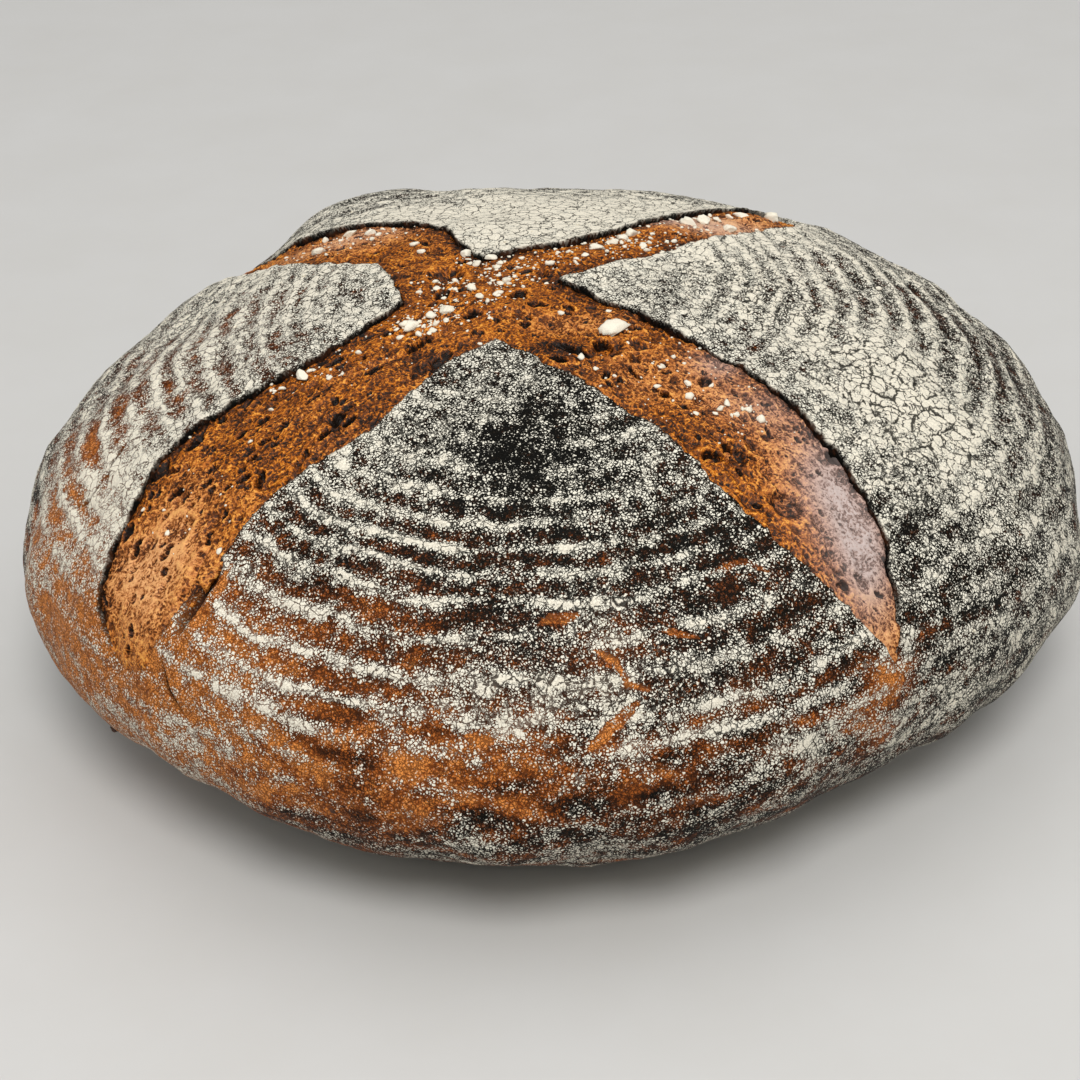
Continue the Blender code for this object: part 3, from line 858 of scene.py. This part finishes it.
class Solids:
    """Many small closed shapes gathered into one mesh."""

    def __init__(self):
        self.points, self.faces, self.tints, self.total = [], [], [], 0

    def add(self, points, faces, tint):
        self.points.append(np.asarray(points))
        self.faces += [[corner + self.total for corner in face] for face in faces]
        self.tints.append(np.full(len(points), tint))
        self.total += len(points)

    def build(self, name, material):
        return new_object(name, np.concatenate(self.points), self.faces, material, {"tint": np.concatenate(self.tints)})


def on_crust(x, y, rise):
    """Places a given height above the crust's skin."""
    distance, half_width = score_distance(x, y)
    place, outward = form(x, y)
    skin = crust_relief(x, y, np.maximum(distance, 0), half_width)
    return place + outward * (skin + rise)[:, None]


def flour_relief(x, y):
    """The height of the plates and grains of dried flour, and how deep in a crack each place is."""
    shaken_x, shaken_y = 0.0006 * noise(x, y, 0.0017, 86), 0.0006 * noise(x, y, 0.0017, 87)
    x, y = x + shaken_x + 0.0008 * noise(x, y, 0.005, 88), y + shaken_y + 0.0008 * noise(x, y, 0.005, 89)
    large, small = np.clip(patches(x, y, LARGE_PLATES), 0, 1), np.clip(patches(x, y, SMALL_PLATES), 0, 1)
    height, crack = np.zeros_like(x), np.zeros_like(x)
    for share, size, seed in ((large, LARGE_PLATE, 82), (small * (1 - large), SMALL_PLATE, 84)):
        share = np.clip(share + 0.45 * noise(x, y, 1.6 * size, seed + 20), 0, 1) * (share > 0.05)
        gap = 2 * cells(x, y, size, seed)[0] * size
        width = (0.00020 + 0.08 * size) * np.maximum(1 + 0.6 * noise(x, y, 0.9 * size, seed + 30), 0.4)
        height += PLATE_RISE * share * (smooth_step(0, 0.0010, gap) + 0.4 * np.exp(-((gap - 0.0011) / 0.0006) ** 2))
        crack = np.maximum(crack, smooth_step(0.15, 0.5, share) * np.clip(1 - 0.3 * gap / width, 0, 1))
    grain = 2 * cells(x, y, GRAIN_CELL, 90)[0]
    height += GRAIN_RISE * (smooth_step(0, 0.4, grain) - 0.5) - 0.0002 * smooth_step(0.5, 0.9, crack)
    return height + 0.00005 * noise(x, y, 0.0009, 91), crack


def make_sheet(name, sheet, seed, material):
    """A fine sheet of flour over a petal. Its border dips below the crust."""
    x, y = shaken_grid(SHEET_SPACING, seed, sheet[2])
    distance, half_width = score_distance(x, y)
    share = sheet_share(x, y, distance, sheet)
    kept = share > 0
    x, y, distance, half_width, share = x[kept], y[kept], distance[kept], half_width[kept], share[kept]
    faces = triangulated(x, y)
    sides = [np.hypot(x[faces[:, i]] - x[faces[:, i - 1]], y[faces[:, i]] - y[faces[:, i - 1]]) for i in range(3)]
    faces = faces[np.max(sides, axis=0) < 2 * SHEET_SPACING]
    fine, crack = flour_relief(x, y)
    height = fine * share - SHEET_BORDER * smooth_step(0.4, 0, share)
    place, outward = form(x, y)
    height += crust_relief(x, y, distance, half_width)
    masks = crust_masks(x, y, distance, half_width)
    masks["crack"] = crack * share
    piece = new_object(name, place + outward * height[:, None], faces, material, masks)
    close_below(piece, 0.001)
    return piece


def ball(subdivisions):
    """Points and faces of a unit ball."""
    shape = bmesh.new()
    bmesh.ops.create_icosphere(shape, subdivisions=subdivisions, radius=1)
    points = np.array([vertex.co[:] for vertex in shape.verts])
    faces = [[vertex.index for vertex in face.verts] for face in shape.faces]
    shape.free()
    return points, faces


def make_lump(solids, balls, place, outward, length, random, tint):
    """A knobbly lump that lies on the surface."""
    points, faces = balls[3 if length > 0.0028 else 2 if length > 0.0012 else 1]
    flat, narrow = random.uniform(0.38, 0.62), random.uniform(0.6, 0.95)
    seed = int(random.integers(1000))
    across, up = points[:, 0] + 9 + points[:, 2], points[:, 1] + 9 - points[:, 2]
    bumps = sum(rise * noise(across, up, size, seed + i) for i, (size, rise) in enumerate(LUMP_KNOBS))
    shaped = points * (1 + bumps)[:, None]
    for cut in random.normal(size=(LUMP_CUTS, 3)):
        cut /= np.linalg.norm(cut)
        shaped = shaped - np.outer(np.maximum(shaped @ cut - random.uniform(0.45, 0.8), 0), cut)
    shaped = shaped * np.array([1, narrow, flat]) * length * 0.58
    upright = Vector(outward).to_track_quat("Z", "X").to_matrix() @ Matrix.Rotation(random.uniform(0, 2 * pi), 3, "Z")
    sunk = np.asarray(outward) * length * flat * 0.28
    solids.add(shaped @ np.array(upright).T + place + sunk, faces, tint)


def lump_spots():
    """Skin coordinates and lengths of every lump on the crumb."""
    random = np.random.default_rng(91)
    rows = [(x, y, length) for x, y, length in BIG_LUMPS]
    for middle_x, middle_y, reach_x, reach_y, count in LUMP_FIELDS:
        x = random.normal(middle_x, reach_x / 1.6, count)
        y = random.normal(middle_y, reach_y / 1.6, count)
        rows += list(zip(x, y, 0.35 + random.gamma(1.6, 0.30, count)))
    return np.array(rows) * MM


def make_lumps(material):
    solids, balls, random = Solids(), {level: ball(level) for level in (1, 2, 3)}, np.random.default_rng(92)
    x, y, length = lump_spots().T
    distance, half_width = score_distance(x, y)
    relief, _ = crumb_relief(x, y, np.minimum(distance, -0.0006), half_width)
    place, outward = form(x, y)
    for i in np.flatnonzero(distance < -0.0003):
        spot = place[i] + outward[i] * relief[i]
        make_lump(solids, balls, spot, outward[i], length[i], random, random.uniform(0, 1))
    x, y = random.uniform(-0.13, 0.13, CRUST_SPECKS), random.uniform(-0.15, 0.08, CRUST_SPECKS)
    distance = score_distance(x, y)[0]
    spots, (_, outward) = on_crust(x, y, np.zeros(CRUST_SPECKS)), form(x, y)
    for i in np.flatnonzero((distance > 0.002) & (np.hypot(x, y) < 0.155)):
        size = 0.0004 + random.gamma(1.4, 0.00022)
        make_lump(solids, balls, spots[i], outward[i], size, random, random.uniform(0, 1))
    return solids.build("flour_lumps", material)


def make_burnt_crumbs(material):
    solids, balls, random = Solids(), {level: ball(level) for level in (1, 2, 3)}, np.random.default_rng(93)
    x, y, length = np.array(BURNT_CRUMBS).T * MM
    spots, (_, outward) = on_crust(x, y, np.zeros(len(x))), form(x, y)
    for i in range(len(x)):
        make_lump(solids, balls, spots[i], outward[i], length[i], random, 0.0)
    return solids.build("burnt_crumbs", material)


# ---------------------------------------------------------------- materials


class Looks:
    """A node material under construction, around one Principled shader."""

    def __init__(self, name, roughness):
        self.material = bpy.data.materials.new(name)
        self.material.use_nodes = True
        self.tree = self.material.node_tree
        self.shader = self.tree.nodes["Principled BSDF"]
        self.shader.inputs["Roughness"].default_value = roughness
        self.place = self.tree.nodes.new("ShaderNodeTexCoord").outputs["Object"]

    def put(self, socket, value):
        if isinstance(value, bpy.types.NodeSocket):
            self.tree.links.new(value, socket)
        else:
            socket.default_value = value

    def math(self, operation, *values):
        node = self.tree.nodes.new("ShaderNodeMath")
        node.operation = operation
        for socket, value in zip(node.inputs, values):
            self.put(socket, value)
        return node.outputs[0]

    def attribute(self, name):
        node = self.tree.nodes.new("ShaderNodeAttribute")
        node.attribute_name = name
        return node.outputs["Fac"]

    def noise(self, size, detail=2.0, roughness=0.5, place=None, kind="FBM", distortion=0.0):
        node = self.tree.nodes.new("ShaderNodeTexNoise")
        node.noise_type = kind
        self.put(node.inputs["Vector"], place or self.place)
        self.put(node.inputs["Scale"], 1 / size)
        self.put(node.inputs["Detail"], detail)
        self.put(node.inputs["Roughness"], roughness)
        self.put(node.inputs["Distortion"], distortion)
        return node.outputs["Fac"]

    def cracks(self, size, place=None):
        """Distance to the nearest crack of a net whose cells are about size across, in cells."""
        node = self.tree.nodes.new("ShaderNodeTexVoronoi")
        node.feature = "DISTANCE_TO_EDGE"
        self.put(node.inputs["Vector"], place or self.place)
        self.put(node.inputs["Scale"], 1 / size)
        return node.outputs["Distance"]

    def warped(self, size, reach):
        """The place moved about by noise."""
        node = self.tree.nodes.new("ShaderNodeTexNoise")
        self.put(node.inputs["Vector"], self.place)
        self.put(node.inputs["Scale"], 1 / size)
        centred = self.vector("SUBTRACT", node.outputs["Color"], (0.5, 0.5, 0.5))
        return self.vector("ADD", self.place, self.vector("SCALE", centred, scale=reach))

    def vector(self, operation, first, second=None, scale=None):
        node = self.tree.nodes.new("ShaderNodeVectorMath")
        node.operation = operation
        self.put(node.inputs[0], first)
        if second is not None:
            self.put(node.inputs[1], second)
        if scale is not None:
            self.put(node.inputs["Scale"], scale)
        return node.outputs[0]

    def step(self, value, start, end, low=0.0, high=1.0):
        """Smoothly from low to high as value runs from start to end."""
        node = self.tree.nodes.new("ShaderNodeMapRange")
        node.interpolation_type = "SMOOTHSTEP"
        for name, number in (("Value", value), ("From Min", start), ("From Max", end),
                             ("To Min", low), ("To Max", high)):
            self.put(node.inputs[name], number)
        return node.outputs["Result"]

    def mix(self, share, first, second):
        node = self.tree.nodes.new("ShaderNodeMix")
        node.data_type = "RGBA"
        node.clamp_factor = True
        for socket, value in ((node.inputs["Factor"], share), (node.inputs["A"], first), (node.inputs["B"], second)):
            self.put(socket, value)
        return node.outputs["Result"]

    def ramp(self, value, stops):
        node = self.tree.nodes.new("ShaderNodeValToRGB")
        elements = node.color_ramp.elements
        while len(elements) < len(stops):
            elements.new(0.5)
        for element, (position, colour) in zip(elements, stops):
            element.position = position
            element.color = colour
        self.put(node.inputs["Fac"], value)
        return node.outputs["Color"]

    def bump(self, height, normal=None):
        """Bump whose height is in metres."""
        node = self.tree.nodes.new("ShaderNodeBump")
        self.put(node.inputs["Strength"], 1.0)
        self.put(node.inputs["Distance"], 1.0)
        self.put(node.inputs["Height"], height)
        if normal is not None:
            self.put(node.inputs["Normal"], normal)
        return node.outputs["Normal"]


def linear(red, green, blue):
    """A shader colour from one in 0 to 255 display values."""
    parts = [value / 255 for value in (red, green, blue)]
    return tuple(v / 12.92 if v <= 0.04045 else ((v + 0.055) / 1.055) ** 2.4 for v in parts) + (1.0,)


BURNT_BLACK = linear(12, 11, 8)
BLACK_BROWN = linear(30, 23, 14)
# the torn side's brown, darkened as painted shade under the ears
SHADED_TORN_BROWN = linear(62, 34, 17)
RED_BROWN = linear(88, 46, 20)
CHESTNUT = linear(162, 87, 34)
TOASTED_ORANGE = linear(226, 142, 70)
CRACK_BROWN = linear(9, 8, 5)
CRACK_RED = linear(92, 46, 17)
FLOUR_WHITE = linear(234, 229, 212)
FLOUR_CREAM = linear(238, 230, 211)


def crust_looks():
    looks = Looks("loaf_crust", 0.8)
    flour, ring, turns = looks.attribute("flour"), looks.attribute("ring"), looks.attribute("turns")
    warm, wall, crack = looks.attribute("warm"), looks.attribute("wall"), looks.attribute("crack")

    grain = looks.noise(0.00036, detail=2, roughness=0.6)
    blotch = looks.noise(0.0034, detail=4, roughness=0.7)
    groove = looks.math("ABSOLUTE", looks.math("SINE", looks.math("MULTIPLY", turns, pi)))
    ridge = looks.math("SUBTRACT", 0.60, groove)
    cover = looks.math("MULTIPLY_ADD", looks.math("MULTIPLY", ridge, ring), 0.95, flour)
    cover = looks.math("MULTIPLY_ADD", looks.math("SUBTRACT", blotch, 0.5), 2.2, cover)

    # Flour keeps to the middles of the crust's small cells until it lies thick
    small = looks.cracks(0.00080, looks.warped(0.0008, 0.0010))
    large = looks.cracks(0.0033, looks.warped(0.0016, 0.0022))
    middles = looks.math("SUBTRACT", looks.step(small, 0.0, 0.34), 0.28)
    excess = looks.math("MULTIPLY_ADD", middles, 0.60, looks.math("SUBTRACT", cover, 0.5))
    excess = looks.math("MULTIPLY_ADD", looks.math("SUBTRACT", grain, 0.5), 1.2, excess)
    dusted = looks.step(excess, -0.14, 0.12)
    thin = looks.step(cover, 0.95, 0.50, 0.20, 1.0)
    torn = looks.math("MULTIPLY_ADD", looks.math("SUBTRACT", grain, 0.5), 0.22, small)
    small_split = looks.math("MULTIPLY", looks.step(torn, 0.130, 0.045), thin)
    large_split = looks.math("MULTIPLY", looks.step(large, 0.050, 0.018), looks.step(blotch, 0.36, 0.46))
    sharp = looks.math("MULTIPLY_ADD", looks.math("SUBTRACT", grain, 0.5), 0.5, crack)
    sharp = looks.step(sharp, 0.65, 0.77)
    split = looks.math("MAXIMUM", looks.math("MAXIMUM", small_split, large_split), sharp)
    split = looks.math("MULTIPLY", split, looks.step(warm, 0.50, 1.00, 0.93, 0.80))

    mottle = looks.math("ADD", looks.math("MULTIPLY", looks.math("SUBTRACT", looks.noise(0.0045, detail=3), 0.5), 0.8),
                        looks.math("MULTIPLY", looks.math("SUBTRACT", looks.noise(0.0009, detail=1), 0.5), 0.9))
    under = looks.ramp(looks.math("ADD", warm, mottle), [(0.0, BURNT_BLACK), (0.25, BLACK_BROWN), (0.5, RED_BROWN),
                                                        (0.75, CHESTNUT), (1.0, TOASTED_ORANGE)])
    white = looks.mix(looks.step(cover, 0.5, 1.0), FLOUR_WHITE, FLOUR_CREAM)
    shown = looks.mix(dusted, under, white)
    crack_colour = looks.mix(looks.step(warm, 0.45, 0.95), CRACK_BROWN, CRACK_RED)
    shown = looks.mix(split, shown, crack_colour)
    # Torn side and creases, black to brown by blotches: dark crust and painted shade under the ears and in the creases
    torn_side_shade = looks.mix(looks.step(blotch, 0.45, 0.65), BURNT_BLACK, SHADED_TORN_BROWN)
    looks.put(looks.shader.inputs["Base Color"], looks.mix(wall, shown, torn_side_shade))
    looks.put(looks.shader.inputs["Roughness"], looks.step(dusted, 0.0, 1.0, 0.55, 0.95))
    looks.shader.inputs["Specular IOR Level"].default_value = 0.08
    height = looks.math("SUBTRACT", looks.math("MULTIPLY_ADD", grain, 0.9, dusted), looks.math("MULTIPLY", split, 1.2))
    looks.put(looks.shader.inputs["Normal"], looks.bump(looks.math("MULTIPLY", height, 0.00012)))
    return looks.material


CRUMB_BLACK = linear(20, 9, 3)
CRUMB_BROWN = linear(104, 52, 9)
CRUMB_ORANGE = linear(192, 105, 14)
CRUMB_GOLD = linear(240, 168, 66)
CRUMB_PEACH = linear(226, 172, 122)
MAUVE_SHEEN_TINT = linear(194, 177, 171)


def flour_looks():
    looks = Looks("dry_flour", 0.95)
    tint, grain = looks.attribute("tint"), looks.noise(0.0006, detail=3, roughness=0.6)
    shade = looks.math("MULTIPLY_ADD", grain, 0.7, looks.math("MULTIPLY", tint, 0.35))
    looks.put(looks.shader.inputs["Base Color"], looks.ramp(shade, [(0.1, linear(186, 176, 150)), (0.45, FLOUR_CREAM),
                                                                    (0.95, linear(240, 233, 214))]))
    looks.shader.inputs["Specular IOR Level"].default_value = 0.1
    looks.put(looks.shader.inputs["Normal"], looks.bump(looks.math("MULTIPLY", grain, 0.00012)))
    return looks.material


def burnt_looks():
    looks = Looks("burnt_crumb", 0.7)
    grain = looks.noise(0.0008, detail=3)
    looks.put(looks.shader.inputs["Base Color"], looks.ramp(grain, [(0.3, BURNT_BLACK), (0.7, RED_BROWN)]))
    return looks.material


def fibre(looks, size):
    """Fine threads drawn out along both lines of the cross, each on its own arms."""
    found = []
    for degrees in LINE_DEGREES:
        node = looks.tree.nodes.new("ShaderNodeMapping")
        node.vector_type = "TEXTURE"
        looks.put(node.inputs["Vector"], looks.warped(0.004, 0.0022))
        node.inputs["Rotation"].default_value = (0, 0, radians(degrees))
        node.inputs["Scale"].default_value = (3.2, 1, 1)
        found.append(looks.noise(size, detail=2, roughness=0.5, place=node.outputs["Vector"]))
    share = looks.attribute("line")
    value = looks.math("ADD", looks.math("MULTIPLY", found[0], share),
                       looks.math("MULTIPLY", found[1], looks.math("SUBTRACT", 1.0, share)))
    return looks.math("SUBTRACT", 1.0, looks.math("MULTIPLY", looks.math("ABSOLUTE", looks.math("SUBTRACT", value, 0.5)), 5.0))


def crumb_looks():
    looks = Looks("loaf_crumb", 0.5)
    hollow, opened, walls = looks.attribute("hollow"), looks.attribute("opened"), looks.attribute("walls")
    coarse, fine, burnt_and_shade = looks.attribute("coarse"), looks.attribute("fine"), looks.attribute("burnt_and_shade")
    pale_and_highlight, mauve_sheen = looks.attribute("pale_and_highlight"), looks.attribute("mauve_sheen")
    threads = fibre(looks, 0.0010)
    grit = looks.noise(0.0007, detail=3, roughness=0.65)
    cloud = looks.noise(0.0060, detail=3, roughness=0.6)
    wander = looks.noise(0.0024, detail=1, place=looks.warped(0.0016, 0.0022))
    curls = looks.step(looks.math("ABSOLUTE", looks.math("SUBTRACT", wander, 0.5)), 0.030, 0.006)
    weave = looks.noise(0.0013, detail=1, place=looks.warped(0.0011, 0.0016))
    hairs = looks.step(looks.math("ABSOLUTE", looks.math("SUBTRACT", weave, 0.5)), 0.050, 0.012)
    tone = looks.math("MULTIPLY_ADD", looks.math("SUBTRACT", grit, 0.5), 0.65, 0.40)
    # Painted light and shade in the tone: crests (walls, coarse and fine) lighter as painted highlights, bubbles
    # (opened, hollow) darker as painted shade, and the mask along the ears darker as burnt crumb and painted shade;
    # threads, curls, hairs, cloud and grit are the crumb's own tone
    for part, amount in ((threads, 0.20), (walls, 0.36), (curls, 0.34), (hairs, 0.20), (fine, 0.08), (coarse, 0.10), (cloud, 0.62), (pale_and_highlight, 0.12),
                         (opened, -0.46), (hollow, -0.54), (burnt_and_shade, -0.45)):
        tone = looks.math("MULTIPLY_ADD", part, amount, tone)
    tone = looks.math("SUBTRACT", tone, 0.52)
    colour = looks.ramp(tone, [(0.0, CRUMB_BLACK), (0.34, CRUMB_BROWN), (0.62, CRUMB_ORANGE), (0.95, CRUMB_GOLD)])
    # pale to peach: the crumb's own paler tone, and a painted highlight at the arms' ends
    peach = looks.mix(looks.math("MULTIPLY", pale_and_highlight, looks.step(tone, 0.30, 0.75, 0.0, 0.8)), colour, CRUMB_PEACH)
    # pale mauve tint of the smooth skin: a painted sheen over the crumb's colour
    tinted = looks.mix(looks.math("MULTIPLY", mauve_sheen, looks.step(tone, 0.12, 0.60, 0.25, 1.0)), peach, MAUVE_SHEEN_TINT)
    looks.put(looks.shader.inputs["Base Color"], tinted)
    looks.shader.inputs["Specular IOR Level"].default_value = 0.2
    height = looks.math("MULTIPLY", looks.math("MULTIPLY_ADD", threads, 0.5, grit), 0.00016)
    looks.put(looks.shader.inputs["Normal"], looks.bump(height))
    return looks.material


# ---------------------------------------------------------------- stage, light and camera

CAMERA_ELEVATION = radians(31)
CAMERA_TARGET = Vector((-0.0036, 0.0, 0.0322))
CAMERA_DISTANCE = 0.6414
CAMERA_VIEW = radians(26)
CAMERA_ROLL = radians(-2.39)


def make_floor():
    bpy.ops.mesh.primitive_plane_add(size=12)
    floor = bpy.context.object
    floor.name = "floor"
    looks = Looks("pale_floor", 0.7)
    shade = looks.noise(0.05, detail=4, roughness=0.6)
    looks.put(looks.shader.inputs["Base Color"], looks.mix(shade, linear(199, 197, 193), linear(206, 205, 203)))
    floor.data.materials.append(looks.material)


def make_light(name, place, target, size, power, colour):
    data = bpy.data.lights.new(name, "AREA")
    data.shape, data.size, data.energy, data.color = "DISK", size, power, colour
    light = bpy.data.objects.new(name, data)
    light.location = place
    light.rotation_euler = (Vector(target) - Vector(place)).to_track_quat("-Z", "Y").to_euler()
    bpy.context.scene.collection.objects.link(light)


def make_lights():
    middle = (0, 0, HEIGHT / 2)
    make_light("ceiling", (0.1, -0.3, 3.0), middle, 7.0, 103, (1.0, 0.997, 0.99))
    make_light("window", (0.12, -1.43, 2.10), middle, 1.0, 34, (1.0, 0.995, 0.98))
    world = bpy.data.worlds.new("room")
    world.use_nodes = True
    background = world.node_tree.nodes["Background"]
    background.inputs["Color"].default_value = (0.96, 0.98, 1.0, 1)
    background.inputs["Strength"].default_value = 0.23
    bpy.context.scene.world = world
    bpy.context.scene.view_settings.view_transform = "Standard"


def make_camera():
    towards = Vector((0, -cos(CAMERA_ELEVATION), sin(CAMERA_ELEVATION)))
    level_up = Vector((0, sin(CAMERA_ELEVATION), cos(CAMERA_ELEVATION)))
    right = Vector((1, 0, 0)) * cos(CAMERA_ROLL) + level_up * sin(CAMERA_ROLL)
    up = -Vector((1, 0, 0)) * sin(CAMERA_ROLL) + level_up * cos(CAMERA_ROLL)
    data = bpy.data.cameras.new("camera")
    data.angle = CAMERA_VIEW
    camera = bpy.data.objects.new("camera", data)
    place = CAMERA_TARGET + towards * CAMERA_DISTANCE
    camera.matrix_world = Matrix((
        (right.x, up.x, towards.x, place.x),
        (right.y, up.y, towards.y, place.y),
        (right.z, up.z, towards.z, place.z),
        (0, 0, 0, 1),
    ))
    bpy.context.scene.collection.objects.link(camera)
    bpy.context.scene.camera = camera


def main():
    make_camera()
    make_floor()
    make_lights()
    crust, dry = crust_looks(), flour_looks()
    pieces = [
        (make_crust(crust), "crust"),
        (make_crumb(crumb_looks()), "crumb"),
        (make_sheet("flour_front", FLOUR_SHEETS[0], 94, crust), "flour"),
        (make_sheet("flour_right", FLOUR_SHEETS[1], 95, crust), "flour"),
        (make_lumps(dry), "flour"),
        (make_burnt_crumbs(burnt_looks()), "crust"),
    ]
    for piece, slot in pieces:
        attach(piece, "root")
        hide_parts("loaf")
        print(piece.name, sum(len(face.vertices) - 2 for face in piece.data.polygons), "triangles")


main()
